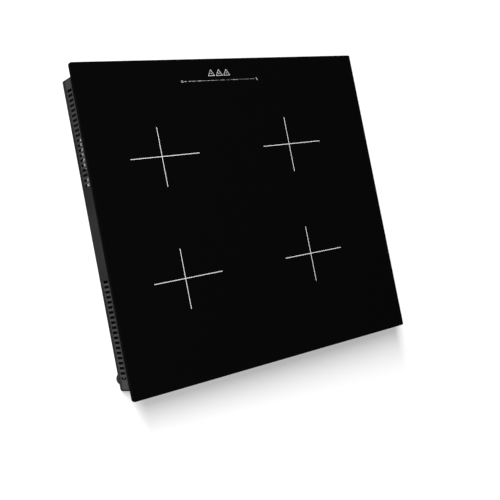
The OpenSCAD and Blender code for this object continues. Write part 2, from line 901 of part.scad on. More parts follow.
// Routes of the supply leads from the filter board to the right and to the left power board
function right_supply_route(i) = [
    [supply_socket_x - lead_gap, supply_y + 8 * i, 23], [203, supply_y + 8 * i, 23],
    [196, supply_y + 8 * i, 21], [zone_right_x + supply_x + lead_gap, supply_y + 8 * i, 21]
];
function left_supply_route(i) = [
    [supply_socket_x - lead_gap, 122 + 6 * i, 24],
    [203.5 + i, 122.5 + 6 * i, 24], [199.5 + 3 * i, 127 + 6 * i, 21],
    [199 + 3.4 * i, 138 + 3 * i, 17], [199 + 3.4 * i, 148, 14], [199 + 3.4 * i, 155 + i, 13],
    [194 + 5 * i, 160 + 4.5 * i, 12], [180, 161 + 5 * i, 11], [50, 161 + 5 * i, 11], [-30, 161 + 5 * i, 11],
    [-50 - 5 * i, 155 + 5 * i, 12], [-57 - 5 * i, 138, 18], [-59 - 4 * i, 122 + 6 * i, 21],
    [-68, supply_y + 8 * i, 21], [zone_left_x + supply_x + lead_gap, supply_y + 8 * i, 21]
];

// Insulated leads of the mains side, each held at both ends
module mains_leads() {
    color([0.35, 0.25, 0.15])
    for (i = [0 : 2])
        tube(smooth(mains_route(i), 3), 1.6, [1, 0, 0]);
    color([0.2, 0.3, 0.6])
    for (i = [0 : 1]) {
        tube(smooth(right_supply_route(i), 3), 1.6, [0, 0, 1]);
        tube(smooth(left_supply_route(i), 3), 1.6, [0, 0, 1]);
    }
}

// Flat cable from the touch board to the left power board
module ribbon_cable() {
    color([0.75, 0.75, 0.78])
    translate([zone_left_x + ribbon_x, 0, 0]) rotate([90, 0, 90]) linear_extrude(ribbon_w)
        strip([
            [-207, touch_board_z], [-207, floor_z + 2], [-62, floor_z + 2], [-54, 18.5], [-38, 18.5]
        ], 0.8);
}

// ---- Terminal box ----

module terminal_box() {
    color([0.12, 0.12, 0.13])
    difference() {
        union() {
            difference() {
                block([box_x[0], box_y, floor_z], [box_x[1], wall_y, box_top_z]);
                block([box_x[0] + box_wall, box_y + box_wall, floor_z + box_wall],
                      [box_x[1] - box_wall, wall_y + 1, box_top_z - box_wall]);
            }
            for (ear = [cover_x[0] - 4, cover_x[1] + 0.5])
                block([ear, hinge_y - 6, floor_z + box_wall - 0.5], [ear + 3.5, wall_y, hinge_z + 4]);
        }
        translate([cover_x[0] - 5, hinge_y, hinge_z]) rod_x(pin_r + pin_gap, cover_x[1] - cover_x[0] + 10);
        block([box_x[0] - 1, wall_y - bend_r + sheet_t, floor_z - 1],
              [box_x[1] + 1, wall_y + 1, floor_z + bend_r - sheet_t]);
        block([box_x[0] + 38, box_y - 1, floor_z + box_wall],
              [box_x[0] + 76, box_y + box_wall + 1, floor_z + 11]);
    }
}

// Block with one well and one clamp screw for each wire
module terminal_block() {
    pitch = 11;
    length = terminal_ways * pitch + 4;
    color([0.9, 0.9, 0.88])
    translate([cover_x[0] + 3, box_y + box_wall + 4, floor_z + box_wall]) difference() {
        cube([length, 16, 16]);
        for (i = [0 : terminal_ways - 1])
            translate([7.5 + i * pitch, 0, 0]) {
                translate([0, -1, 6]) rod_y(2.6, 18);
                translate([0, 8, 12]) cylinder(r = 3.4, h = 5);
            }
    }
    color([0.75, 0.76, 0.78])
    for (i = [0 : terminal_ways - 1])
        translate([cover_x[0] + 10.5 + i * pitch, box_y + box_wall + 12, floor_z + box_wall + 10])
            cylinder(r = 3.2, h = 4.5);
}

// Cover with its hinge barrel and pins along the lower edge, and a finger lip at the top
module terminal_cover() {
    color([0.13, 0.13, 0.14]) {
        block([cover_x[0] + cover_gap, cover_y, hinge_z],
              [cover_x[1] - cover_gap, cover_y + cover_t, hinge_z + cover_h]);
        block([cover_x[0] + 22, cover_y - 3, hinge_z + cover_h - 3],
              [cover_x[1] - 22, cover_y + 0.5, hinge_z + cover_h - 1]);
        translate([cover_x[0] + 0.6, hinge_y, hinge_z]) rod_x(hinge_r, cover_x[1] - cover_x[0] - 1.2);
        translate([cover_x[0] - 3.8, hinge_y, hinge_z]) rod_x(pin_r, cover_x[1] - cover_x[0] + 7.6);
    }
}

// Rubber grommet in the rear wall, round the mains cable's hole
module cable_grommet() {
    color([0.1, 0.1, 0.1])
    translate([cable_at[0], wall_y, cable_at[1]]) rotate([-90, 0, 0]) rotate_extrude()
        polygon([
            [cable_hole_r, -10], [8.5, -10], [grommet_r, -2], [11.5, -2], [11.5, 0], [grommet_r, 0],
            [grommet_r, sheet_t], [11.5, sheet_t], [11.5, sheet_t + 0.6], [11, sheet_t + 1],
            [cable_hole_r, sheet_t + 1]
        ]);
}

// ---- Touch unit ----

module touch_holder() {
    color([0.15, 0.15, 0.16]) {
        difference() {
            block([-touch_w / 2, touch_y[0], touch_z], [touch_w / 2, touch_y[1], touch_z + 8]);
            block([-touch_w / 2 + 1.5, touch_y[0] + 1.5, touch_z + 1.5],
                  [touch_w / 2 - 1.5, touch_y[1] - 1.5, touch_z + 9]);
            block([zone_left_x + 58, -212, touch_z - 1], [zone_left_x + 82, -202, touch_z + 3]);
        }
        for (s = MINUS_PLUS)
            translate([s * (touch_w / 2 - 6) - 4, touch_y[0] + 6, floor_z])
                cube([8, 18, touch_z - floor_z + 1]);
    }
}

module touch_board() {
    color([0.1, 0.3, 0.18])
        block([-touch_w / 2 + 3, touch_y[0] + 3, touch_board_z],
              [touch_w / 2 - 3, touch_y[1] - 3, touch_board_z + board_t]);
    color([0.1, 0.1, 0.1])
        translate([-60, touch_y[0] + 2.5 + 12, touch_board_z + board_t]) cube([10, 4, 2]);
}

// Conductive foam pads between the board and the glass, one under each key
module touch_pads() {
    color([0.3, 0.3, 0.32])
    for (x = TOUCH_KEYS_X)
        translate([x, touch_y[0] + 9, touch_board_z + board_t])
            cylinder(r = 4.5, h = glass_z - touch_board_z - board_t);
}

// Digit displays behind the keys
module zone_displays() {
    color([0.06, 0.06, 0.07])
    for (x = DISPLAYS_X)
        translate([x - 9.5, touch_y[1] - 15, touch_board_z + board_t]) difference() {
            cube([19, 11, 8]);
            translate([1.5, 1.5, 7.2]) cube([16, 8, 2]);
        }
}

glass_top();
rim_gasket();
bond_silicone();
glass_rail_front();
glass_rail_rear();
rail_screws();
chassis_tray();
rubber_feet();
foot_screws();
floor_posts();
coil_plate_left();
coil_plate_right();
coil_carrier_front_left();
coil_carrier_rear_left();
coil_carrier_front_right();
coil_carrier_rear_right();
coil_winding_front_left();
coil_winding_rear_left();
coil_winding_front_right();
coil_winding_rear_right();
ferrite_bars_left();
ferrite_bars_right();
zone_sensors_left();
zone_sensors_right();
insulation_discs_left();
insulation_discs_right();
coil_springs_left();
coil_springs_right();
coil_leads_left();
coil_leads_right();
electronics_tray_left();
electronics_tray_right();
power_board_left();
power_board_right();
board_screws();
heat_sink_left();
heat_sink_right();
power_transistors_left();
power_transistors_right();
capacitors_left();
capacitors_right();
blower_housing_left();
blower_housing_right();
blower_motor_left();
blower_motor_right();
blower_rotor_left();
blower_rotor_right();
filter_board();
filter_choke();
filter_capacitors();
mains_leads();
ribbon_cable();
terminal_box();
terminal_block();
terminal_cover();
cable_grommet();
touch_holder();
touch_board();
touch_pads();
zone_displays();
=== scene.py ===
import json
import math
import random

import bmesh
import bpy
from mathutils import Matrix, Vector
from mathutils.geometry import tessellate_polygon


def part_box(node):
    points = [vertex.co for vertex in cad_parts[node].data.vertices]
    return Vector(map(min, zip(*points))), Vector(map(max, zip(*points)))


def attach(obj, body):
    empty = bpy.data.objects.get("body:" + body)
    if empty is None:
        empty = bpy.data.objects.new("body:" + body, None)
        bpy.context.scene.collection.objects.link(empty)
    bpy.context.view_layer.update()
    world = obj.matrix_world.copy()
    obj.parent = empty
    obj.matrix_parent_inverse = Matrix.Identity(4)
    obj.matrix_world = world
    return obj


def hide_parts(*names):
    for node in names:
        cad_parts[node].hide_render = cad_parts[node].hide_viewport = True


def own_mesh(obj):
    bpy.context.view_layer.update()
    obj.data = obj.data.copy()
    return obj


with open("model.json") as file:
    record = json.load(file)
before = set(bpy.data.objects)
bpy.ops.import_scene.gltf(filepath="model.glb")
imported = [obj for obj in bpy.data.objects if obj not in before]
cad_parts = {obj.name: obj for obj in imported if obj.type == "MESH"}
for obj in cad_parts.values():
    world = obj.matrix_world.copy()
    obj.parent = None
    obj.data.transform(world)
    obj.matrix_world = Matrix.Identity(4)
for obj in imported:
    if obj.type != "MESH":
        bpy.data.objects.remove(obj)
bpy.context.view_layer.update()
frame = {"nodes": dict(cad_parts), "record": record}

# Lengths below are in millimetres where a name or a call says so, and MM turns them into Blender's metres.
MM = 0.001
TURN = 2 * math.pi

# Driving sizes that repeat the CAD design
ZONE_X = {"left": -160, "right": 105}
ZONE_Y = {"front": -95, "rear": 103}
WALL_X = 281
WALL_Y = 247
FLOOR_Z = 9
PLATE_Z = 46
LANE_X = -113.3
TWIST_R = 2.75
MAINS_X = 210.5
SUPPLY_X = 207.7
BOARD_TOP_Z = 13.6
FILTER_TOP_Z = 17.6
GLASS_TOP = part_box("glass_top")[1].z / MM


# ---------------------------------------------------------------- camera

CAMERA_AT = Vector((-0.9450, -0.0847, 1.2829))
CAMERA_LOOKS_AT = Vector((0.0443, -0.0207, 0))
CAMERA_UP = Vector((0.1290, 0.9805, 0.1483))


def make_camera():
    """High over the left side and rolled, so that the rear edge runs across the top of the picture."""
    data = bpy.data.cameras.new("camera")
    data.lens = 65.5
    data.sensor_width = 36
    data.shift_x = -0.0066
    data.shift_y = -0.0555
    data.clip_start = 0.05
    data.clip_end = 60
    camera = bpy.data.objects.new("camera", data)
    bpy.context.scene.collection.objects.link(camera)
    back = (CAMERA_AT - CAMERA_LOOKS_AT).normalized()
    right = CAMERA_UP.cross(back).normalized()
    turn = Matrix((right, back.cross(right), back)).transposed().to_4x4()
    camera.matrix_world = Matrix.Translation(CAMERA_AT) @ turn
    bpy.context.scene.camera = camera


make_camera()


# ---------------------------------------------------------------- materials

class Finish:
    """A material with a Principled shader, and short calls for the patterns that feed it."""

    def __init__(self, name, color, roughness, metallic=0.0, **sockets):
        self.material = bpy.data.materials.new(name)
        self.material.use_nodes = True
        self.tree = self.material.node_tree
        self.shader = self.tree.nodes["Principled BSDF"]
        self.set("Base Color", (*color, 1))
        self.set("Roughness", roughness)
        self.set("Metallic", metallic)
        for key, value in sockets.items():
            self.set(key.replace("_", " "), value)
        self.place = self.tree.nodes.new("ShaderNodeTexCoord")
        self.coords = self.place.outputs["Object"]
        self.normal = None

    def set(self, key, value):
        self.shader.inputs[key].default_value = value

    def add(self, kind, inputs, **settings):
        node = self.tree.nodes.new(kind)
        for key, value in settings.items():
            setattr(node, key, value)
        for key, value in inputs.items():
            if isinstance(value, bpy.types.NodeSocket):
                self.tree.links.new(value, node.inputs[key])
            else:
                node.inputs[key].default_value = value
        return node

    def mapped(self, scale=(1, 1, 1), turn=(0, 0, 0), coords=None):
        """Coordinates that are stretched and turned, for grain that runs one way."""
        node = self.add("ShaderNodeMapping", {"Vector": coords or self.coords})
        node.inputs["Scale"].default_value = scale
        node.inputs["Rotation"].default_value = turn
        return node.outputs["Vector"]

    def noise(self, scale, detail=3.0, coords=None):
        inputs = {"Vector": coords or self.coords, "Scale": scale, "Detail": detail}
        return self.add("ShaderNodeTexNoise", inputs).outputs["Fac"]

    def cells(self, scale, output="Distance", **settings):
        inputs = {"Vector": self.coords, "Scale": scale}
        return self.add("ShaderNodeTexVoronoi", inputs, **settings).outputs[output]

    def bands(self, scale, coords, distortion=0.0):
        inputs = {"Vector": coords, "Scale": scale, "Distortion": distortion}
        return self.add("ShaderNodeTexWave", inputs).outputs["Fac"]

    def span(self, value, low, high, to_low=0.0, to_high=1.0):
        """value from low to high becomes to_low to to_high."""
        inputs = {"Value": value, "From Min": low, "From Max": high, "To Min": to_low, "To Max": to_high}
        return self.add("ShaderNodeMapRange", inputs).outputs["Result"]

    def math(self, operation, a, b):
        return self.add("ShaderNodeMath", {0: a, 1: b}, operation=operation).outputs["Value"]

    def every(self, first, *others):
        """Product of shares, so it is 1 only where each of them is 1."""
        for other in others:
            first = self.math("MULTIPLY", first, other)
        return first

    def blend(self, share, first, second):
        """Colour that goes from first to second as share goes from 0 to 1."""
        node = self.tree.nodes.new("ShaderNodeMix")
        node.data_type = "RGBA"
        sockets = [s for s in node.inputs if s.type == "RGBA"]
        self.tree.links.new(share, node.inputs[0])
        for socket, value in zip(sockets, (first, second)):
            if isinstance(value, bpy.types.NodeSocket):
                self.tree.links.new(value, socket)
            else:
                socket.default_value = (*value, 1)
        return [s for s in node.outputs if s.type == "RGBA"][0]

    def color(self, output):
        self.tree.links.new(output, self.shader.inputs["Base Color"])

    def roughness(self, share, low, high):
        output = self.span(share, 0.3, 0.7, low, high)
        self.tree.links.new(output, self.shader.inputs["Roughness"])

    def bump(self, height, distance_mm, strength=1.0):
        inputs = {"Height": height, "Distance": distance_mm * MM, "Strength": strength}
        if self.normal is not None:
            inputs["Normal"] = self.normal
        self.normal = self.add("ShaderNodeBump", inputs).outputs["Normal"]
        self.tree.links.new(self.normal, self.shader.inputs["Normal"])


def black_glass():
    """Opaque ceramic glass: near black, polished, with the faintest wipe marks."""
    f = Finish("black_glass", (0.0024, 0.0024, 0.0027), 0.05, IOR=1.5)
    wipes = f.noise(14, 4, f.mapped((1, 3, 1), (0, 0, 0.5)))
    f.roughness(wipes, 0.035, 0.075)
    specks = f.cells(2600)
    f.color(f.blend(f.span(specks, 0.0, 0.25), (0.0046, 0.0046, 0.0050), (0.0023, 0.0023, 0.0026)))
    return f.material


def print_enamel():
    """Ceramic ink fired on the glass, slightly grainy."""
    f = Finish("print_enamel", (0.86, 0.86, 0.86), 0.45)
    grain = f.noise(4200, 2)
    f.color(f.blend(grain, (0.80, 0.80, 0.80), (0.92, 0.92, 0.92)))
    f.bump(grain, 0.01, 0.4)
    return f.material


def small_print_enamel():
    """The same ink in a thinner, greyer coat for the small marks."""
    f = Finish("small_print_enamel", (0.5, 0.5, 0.5), 0.5)
    grain = f.noise(3600, 3)
    f.color(f.blend(grain, (0.42, 0.42, 0.42), (0.6, 0.6, 0.6)))
    f.bump(grain, 0.01, 0.4)
    return f.material


def powder_coat():
    """Dark grey powder coat with fine orange peel, made paler round the vents as a painted highlight, near
    black along the bend at the foot of the side walls as painted shade, and dull black inside as painted
    shade.
    """
    f = Finish("powder_coat", (0.014, 0.0145, 0.0155), 0.5, IOR=1.5)
    mottle = f.noise(9, 5)
    coat = f.blend(f.span(mottle, 0.3, 0.7), (0.0078, 0.008, 0.0086), (0.0122, 0.0125, 0.0133))
    # Painted shade: the whole inside of the tray is coloured dull black, darker than the outer coat.
    inside_shade = f.blend(mottle, (0.0015, 0.0015, 0.0016), (0.003, 0.003, 0.0032))
    place = f.add("ShaderNodeSeparateXYZ", {"Vector": f.coords})
    across, along = (f.math("ABSOLUTE", place.outputs[axis], 0) for axis in "XY")
    height = place.outputs["Z"]
    # The vents are high in the side walls and over 75 mm from their middle, and the bend is at their foot.
    # The paler coat round the vents is a painted highlight, and the near black bend is painted shade.
    side_wall = f.span(across, (WALL_X - 1.4) * MM, (WALL_X - 0.6) * MM)
    vents = f.every(side_wall, f.span(height, 17 * MM, 20 * MM), f.span(height, 38 * MM, 35.5 * MM),
                    f.span(along, 74.5 * MM, 76 * MM))
    bend_shade = f.every(side_wall, f.span(height, 10 * MM, 8.6 * MM))
    inside = f.every(f.math("LESS_THAN", across, (WALL_X - 0.6) * MM),
                     f.math("LESS_THAN", along, (WALL_Y - 0.6) * MM),
                     f.math("GREATER_THAN", height, (FLOOR_Z - 0.4) * MM))
    # Painted highlight: the coat is made paler round the vents.
    coat = f.blend(vents, coat, (0.028, 0.0285, 0.0295))
    # Painted shade: the coat is made near black on the bend at the foot of the side walls.
    coat = f.blend(bend_shade, coat, (0.003, 0.003, 0.0032))
    # Painted shade: the inside gets the dull black colour in place of the coat.
    f.color(f.blend(inside, coat, inside_shade))
    f.roughness(mottle, 0.42, 0.58)
    f.bump(f.noise(180, 3), 0.05, 0.25)
    f.bump(f.noise(1100, 2), 0.06, 0.5)
    return f.material


def rubber():
    f = Finish("black_rubber", (0.007, 0.007, 0.0073), 0.75)
    bloom = f.noise(60, 5)
    f.color(f.blend(bloom, (0.004, 0.004, 0.0043), (0.01, 0.0098, 0.0096)))
    f.roughness(bloom, 0.68, 0.86)
    f.bump(f.noise(1500, 3), 0.05, 0.5)
    return f.material


def silicone():
    f = Finish("silicone", (0.035, 0.035, 0.036), 0.35)
    drag = f.noise(90, 2, f.mapped((0.2, 1, 1)))
    f.color(f.blend(drag, (0.025, 0.025, 0.026), (0.05, 0.05, 0.052)))
    f.bump(drag, 0.3, 0.5)
    return f.material


def galvanised():
    """Zinc-coated sheet with its crystal flowers."""
    f = Finish("galvanised_steel", (0.6, 0.61, 0.63), 0.4, 1.0)
    flowers = f.cells(160, "Color")
    tone = f.add("ShaderNodeSeparateColor", {"Color": flowers}).outputs["Red"]
    f.color(f.blend(tone, (0.5, 0.51, 0.54), (0.7, 0.71, 0.72)))
    f.roughness(tone, 0.3, 0.5)
    f.bump(f.noise(700, 2), 0.02, 0.3)
    return f.material


def plated_steel():
    f = Finish("plated_steel", (0.62, 0.63, 0.64), 0.3, 1.0)
    stains = f.noise(500, 4)
    f.color(f.blend(stains, (0.5, 0.5, 0.5), (0.72, 0.73, 0.74)))
    f.roughness(stains, 0.24, 0.42)
    f.bump(f.noise(3000, 2), 0.01, 0.3)
    return f.material


def spring_steel():
    f = Finish("spring_steel", (0.1, 0.1, 0.11), 0.42, 0.9)
    film = f.noise(700, 4)
    f.color(f.blend(film, (0.06, 0.06, 0.07), (0.15, 0.15, 0.16)))
    f.roughness(film, 0.35, 0.55)
    f.bump(f.noise(2500, 2), 0.02, 0.3)
    return f.material


def aluminium():
    """Mill-finish aluminium, with drawing lines along the metal."""
    f = Finish("bare_aluminium", (0.74, 0.75, 0.76), 0.35, 1.0)
    lines = f.noise(60, 4, f.mapped((30, 1, 30)))
    f.color(f.blend(lines, (0.66, 0.67, 0.68), (0.82, 0.82, 0.83)))
    f.roughness(lines, 0.28, 0.46)
    f.bump(lines, 0.02, 0.4)
    return f.material


def plastic(name, dark, light, roughness=(0.4, 0.55), texture_mm=0.04):
    """Moulded plastic with a spark-eroded texture and slow changes of tone."""
    f = Finish(name, light, roughness[0])
    tone = f.noise(22, 4)
    f.color(f.blend(f.span(tone, 0.3, 0.7), dark, light))
    f.roughness(tone, *roughness)
    f.bump(f.noise(2200, 2), texture_mm, 0.5)
    return f.material


def litz():
    """Enamelled copper strands that twist round the bundle."""
    f = Finish("copper_litz", (0.6, 0.3, 0.14), 0.35, 0.85)
    strands = f.bands(2.4, f.mapped((1, 1, 1), (0, 0, 0.9), f.place.outputs["UV"]))
    tone = f.noise(400, 3)
    wires = f.blend(strands, (0.2, 0.08, 0.035), (0.72, 0.36, 0.17))
    f.color(f.blend(f.span(tone, 0.35, 0.65, 0.0, 0.45), wires, (0.36, 0.15, 0.07)))
    f.roughness(tone, 0.28, 0.45)
    f.bump(strands, 0.25, 0.8)
    return f.material


def sleeve(name, dark, light):
    """Braided sleeve: two sets of threads that cross on the surface."""
    f = Finish(name, light, 0.7, Sheen_Weight=0.2)
    uv = f.place.outputs["UV"]
    left = f.bands(1.9, f.mapped((1, 1, 1), (0, 0, 0.8), uv))
    right = f.bands(1.9, f.mapped((1, 1, 1), (0, 0, -0.8), uv))
    weave = f.math("MAXIMUM", left, right)
    f.color(f.blend(weave, dark, light))
    f.bump(weave, 0.2, 0.8)
    return f.material


def ferrite():
    f = Finish("ferrite", (0.075, 0.075, 0.08), 0.55, 0.1)
    grains = f.cells(1800)
    f.color(f.blend(grains, (0.05, 0.05, 0.055), (0.12, 0.12, 0.125)))
    f.roughness(f.noise(120, 3), 0.45, 0.65)
    f.bump(grains, 0.04, 0.5)
    return f.material


def ceramic():
    f = Finish("ceramic", (0.84, 0.82, 0.76), 0.6)
    pores = f.noise(900, 5)
    f.color(f.blend(pores, (0.76, 0.73, 0.66), (0.9, 0.88, 0.83)))
    f.bump(pores, 0.05, 0.5)
    return f.material


def felt():
    """Ceramic-fibre felt: short matted fibres."""
    f = Finish("felt", (0.84, 0.83, 0.79), 0.9, Sheen_Weight=0.4)
    fibres = f.noise(500, 6, f.mapped((1, 5, 1), (0, 0, 0.7)))
    cross = f.noise(500, 6, f.mapped((5, 1, 1), (0, 0, 0.2)))
    mat = f.math("MAXIMUM", fibres, cross)
    f.color(f.blend(f.span(mat, 0.4, 0.8), (0.66, 0.64, 0.58), (0.93, 0.92, 0.88)))
    f.bump(mat, 0.5, 0.9)
    return f.material


def circuit_board():
    """Green solder mask over copper tracks that run square to each other."""
    f = Finish("circuit_board", (0.03, 0.16, 0.08), 0.35, Coat_Weight=0.3)
    blocks = f.cells(150, "Color", distance="MANHATTAN")
    tone = f.add("ShaderNodeSeparateColor", {"Color": blocks}).outputs["Green"]
    tracks = f.bands(120, f.mapped((1, 0.2, 1)), 1.5)
    lines = f.math("MULTIPLY", f.span(tracks, 0.55, 0.7), f.span(tone, 0.3, 0.6))
    f.color(f.blend(lines, (0.015, 0.10, 0.05), (0.05, 0.24, 0.12)))
    f.roughness(tone, 0.28, 0.4)
    f.bump(lines, 0.03, 0.6)
    return f.material


def epoxy():
    f = Finish("black_epoxy", (0.022, 0.022, 0.024), 0.5)
    tone = f.noise(300, 4)
    f.color(f.blend(tone, (0.016, 0.016, 0.017), (0.035, 0.035, 0.037)))
    f.roughness(tone, 0.42, 0.6)
    f.bump(f.noise(2600, 2), 0.02, 0.5)
    return f.material


def motor_winding():
    f = Finish("motor_winding", (0.55, 0.3, 0.14), 0.35, 0.8)
    wires = f.bands(900, f.mapped((0, 0, 1)))
    f.color(f.blend(wires, (0.22, 0.09, 0.04), (0.68, 0.36, 0.17)))
    f.roughness(f.noise(200), 0.3, 0.45)
    f.bump(wires, 0.15, 0.8)
    return f.material


def ribbon():
    """Flat cable: grey insulation with a groove between each two wires."""
    f = Finish("ribbon", (0.46, 0.46, 0.49), 0.4)
    wires = f.bands(245, f.mapped((1, 0, 0)))
    f.color(f.blend(wires, (0.26, 0.26, 0.28), (0.55, 0.55, 0.58)))
    f.roughness(f.noise(150), 0.34, 0.48)
    f.bump(wires, 0.2, 0.8)
    return f.material


def foam():
    f = Finish("foam", (0.07, 0.07, 0.075), 0.9)
    pores = f.cells(1400)
    f.color(f.blend(pores, (0.03, 0.03, 0.032), (0.12, 0.12, 0.125)))
    f.bump(pores, 0.3, 0.9)
    return f.material


FINISHES = {
    "black_glass": black_glass(),
    "black_rubber": rubber(),
    "silicone": silicone(),
    "galvanised_steel": galvanised(),
    "plated_steel": plated_steel(),
    "spring_steel": spring_steel(),
    "powder_coat": powder_coat(),
    "white_plastic": plastic("white_plastic", (0.72, 0.72, 0.68), (0.84, 0.84, 0.81)),
    "dark_plastic": plastic("dark_plastic", (0.03, 0.03, 0.033), (0.05, 0.05, 0.054)),
    "bare_aluminium": aluminium(),
    "carrier_plastic": plastic("carrier_plastic", (0.05, 0.046, 0.042), (0.085, 0.078, 0.07)),
    "copper_litz": litz(),
    "ferrite": ferrite(),
    "ceramic": ceramic(),
    "felt": felt(),
    "white_sleeve": sleeve("white_sleeve", (0.3, 0.3, 0.28), (0.72, 0.72, 0.69)),
    "circuit_board": circuit_board(),
    "black_epoxy": epoxy(),
    "capacitor_case": plastic("capacitor_case", (0.045, 0.1, 0.27), (0.07, 0.14, 0.34), (0.22, 0.3), 0.01),
    "black_plastic": plastic("black_plastic", (0.022, 0.022, 0.025), (0.036, 0.036, 0.04)),
    "motor_winding": motor_winding(),
    "choke_core": plastic("choke_core", (0.05, 0.1, 0.06), (0.09, 0.16, 0.1), (0.35, 0.5)),
    "wire_insulation": plastic("wire_insulation", (0.2, 0.1, 0.045), (0.3, 0.16, 0.07), (0.25, 0.35), 0.01),
    "ribbon": ribbon(),
    "foam": foam(),
}
PRINT = print_enamel()
SMALL_PRINT = small_print_enamel()


def dress_cad_nodes():
    """Every CAD node gets the finish of its material slot."""
    for part in frame["record"]["subparts"]:
        node = frame["nodes"][part["node"]]
        node.data.materials.clear()
        node.data.materials.append(FINISHES[part["material_slot"]])


dress_cad_nodes()


# ---------------------------------------------------------------- mesh building

class Shape:
    """Collects closed forms, with places in millimetres, and makes one mesh object of them."""

    def __init__(self):
        self.points = []
        self.faces = []
        self.uvs = []

    def rings(self, rings, closed=False, caps=True, uv_length=None):
        """Skin over rings that have the same number of points each."""
        start, count, sides = len(self.points), len(rings), len(rings[0])
        for ring in rings:
            self.points.extend(ring)
        last = count if closed else count - 1
        for i in range(last):
            for k in range(sides):
                k2, i2 = (k + 1) % sides, (i + 1) % count
                a, b = start + i * sides, start + i2 * sides
                self.faces.append((a + k, a + k2, b + k2, b + k))
                v0, v1 = (uv_length[i], uv_length[i + 1]) if uv_length else (i, i + 1)
                u0, u1 = k / sides, (k + 1) / sides
                self.uvs.append(((u0, v0), (u1, v0), (u1, v1), (u0, v1)))
        if caps and not closed:
            self.faces.append(tuple(start + k for k in reversed(range(sides))))
            self.faces.append(tuple(start + (count - 1) * sides + k for k in range(sides)))
            self.uvs.extend([((0, 0),) * sides] * 2)

    def cap(self, loops, z):
        """Flat face at a height, inside the first loop and outside the others."""
        start = len(self.points)
        self.points.extend((x, y, z) for loop in loops for x, y in loop)
        for corners in tessellate_polygon([[Vector((x, y, 0)) for x, y in loop] for loop in loops]):
            self.faces.append(tuple(start + i for i in corners))
            self.uvs.append(((0, 0),) * 3)

    def plate(self, outline, z0, z1, holes=()):
        """Upright prism over an outline, with upright holes."""
        for loop in (outline, *holes):
            self.rings([[(x, y, z) for x, y in loop] for z in (z0, z1)], caps=False)
        for z in (z0, z1):
            self.cap((outline, *holes), z)

    def box(self, low, high):
        (x0, y0, z0), (x1, y1, z1) = low, high
        self.plate(((x0, y0), (x1, y0), (x1, y1), (x0, y1)), z0, z1)

    def tube(self, path, radius, across, sides=12, tall=None):
        """Round or oval tube along a path; across is a direction the path never runs in."""
        rings, length, lengths = [], 0.0, [0.0]
        path = [Vector(p) for p in path]
        for i, p in enumerate(path):
            t = (path[min(i + 1, len(path) - 1)] - path[max(i - 1, 0)]).normalized()
            u = t.cross(Vector(across)).normalized()
            v = t.cross(u)
            ring = []
            for k in range(sides):
                a = TURN * k / sides
                ring.append(tuple(p + radius * math.cos(a) * u + (tall or radius) * math.sin(a) * v))
            rings.append(ring)
            if i:
                length += (p - path[i - 1]).length
                lengths.append(length / (TURN * radius))
        self.rings(rings, uv_length=lengths)

    def copy(self, other, places):
        """Adds other once for each matrix in places."""
        for matrix in places:
            start = len(self.points)
            self.points.extend(tuple(matrix @ Vector(p)) for p in other.points)
            self.faces.extend(tuple(start + i for i in face) for face in other.faces)
            self.uvs.extend(other.uvs)

    def make(self, name, body, material, smooth=35):
        """The mesh object, riding on a body, with soft edges up to an angle in degrees."""
        mesh = bpy.data.meshes.new(name)
        mesh.from_pydata([tuple(c * MM for c in p) for p in self.points], [], self.faces)
        layer = mesh.uv_layers.new(name="uv")
        flat = [uv for face in self.uvs for uv in face]
        for loop, uv in zip(layer.data, flat):
            loop.uv = uv
        tidy = bmesh.new()
        tidy.from_mesh(mesh)
        bmesh.ops.remove_doubles(tidy, verts=tidy.verts, dist=0.0001 * MM)
        bmesh.ops.recalc_face_normals(tidy, faces=tidy.faces)
        tidy.to_mesh(mesh)
        tidy.free()
        mesh.set_sharp_from_angle(angle=math.radians(smooth))
        mesh.polygons.foreach_set("use_smooth", [True] * len(mesh.polygons))
        mesh.materials.append(material)
        piece = bpy.data.objects.new(name, mesh)
        bpy.context.scene.collection.objects.link(piece)
        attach(piece, body)
        return piece


def smooth_path(points, steps=8):
    """Catmull-Rom curve through points."""
    p = [Vector(q) for q in points]
    out = []
    for i in range(len(p) - 1):
        a, b, c, d = p[max(i - 1, 0)], p[i], p[i + 1], p[min(i + 2, len(p) - 1)]
        for k in range(steps):
            s = k / steps
            out.append(0.5 * (2 * b + (c - a) * s + (2 * a - 5 * b + 4 * c - d) * s * s
                              + (3 * b - a - 3 * c + d) * s ** 3))
    return out + [p[-1]]


def solids(node):
    """The low and high corners, in millimetres, of each separate solid of a CAD node."""
    mesh = frame["nodes"][node].data
    at = [tuple(round(c / MM, 3) for c in v.co) for v in mesh.vertices]
    parent = {p: p for p in at}

    def root(p):
        while parent[p] != p:
            parent[p] = parent[parent[p]]
            p = parent[p]
        return p

    for face in mesh.polygons:
        first = root(at[face.vertices[0]])
        for v in face.vertices[1:]:
            parent[root(at[v])] = first
    groups = {}
    for p in parent:
        groups.setdefault(root(p), []).append(p)
    boxes = [(tuple(map(min, zip(*g))), tuple(map(max, zip(*g)))) for g in groups.values()]
    return sorted(boxes)


def middle(box):
    return tuple((a + b) / 2 for a, b in zip(*box))


# ---------------------------------------------------------------- outlines and small forms

def ring_of(radius, sides=32, centre=(0, 0)):
    """Points of a circle, counter-clockwise."""
    steps = [TURN * k / sides for k in range(sides)]
    return [(centre[0] + radius * math.cos(a), centre[1] + radius * math.sin(a)) for a in steps]


def rounded(outline, r, steps=5):
    """The outline with a curve at each corner that starts r before it and ends r after it."""
    out = []
    for i, point in enumerate(outline):
        p = Vector(point)
        before, after = Vector(outline[i - 1]), Vector(outline[(i + 1) % len(outline)])
        a, b = p + r * (before - p).normalized(), p + r * (after - p).normalized()
        for k in range(steps + 1):
            s = k / steps
            out.append(tuple((1 - s) ** 2 * a + 2 * s * (1 - s) * p + s * s * b))
    return out


def rectangle(x0, y0, x1, y1):
    return [(x0, y0), (x1, y0), (x1, y1), (x0, y1)]


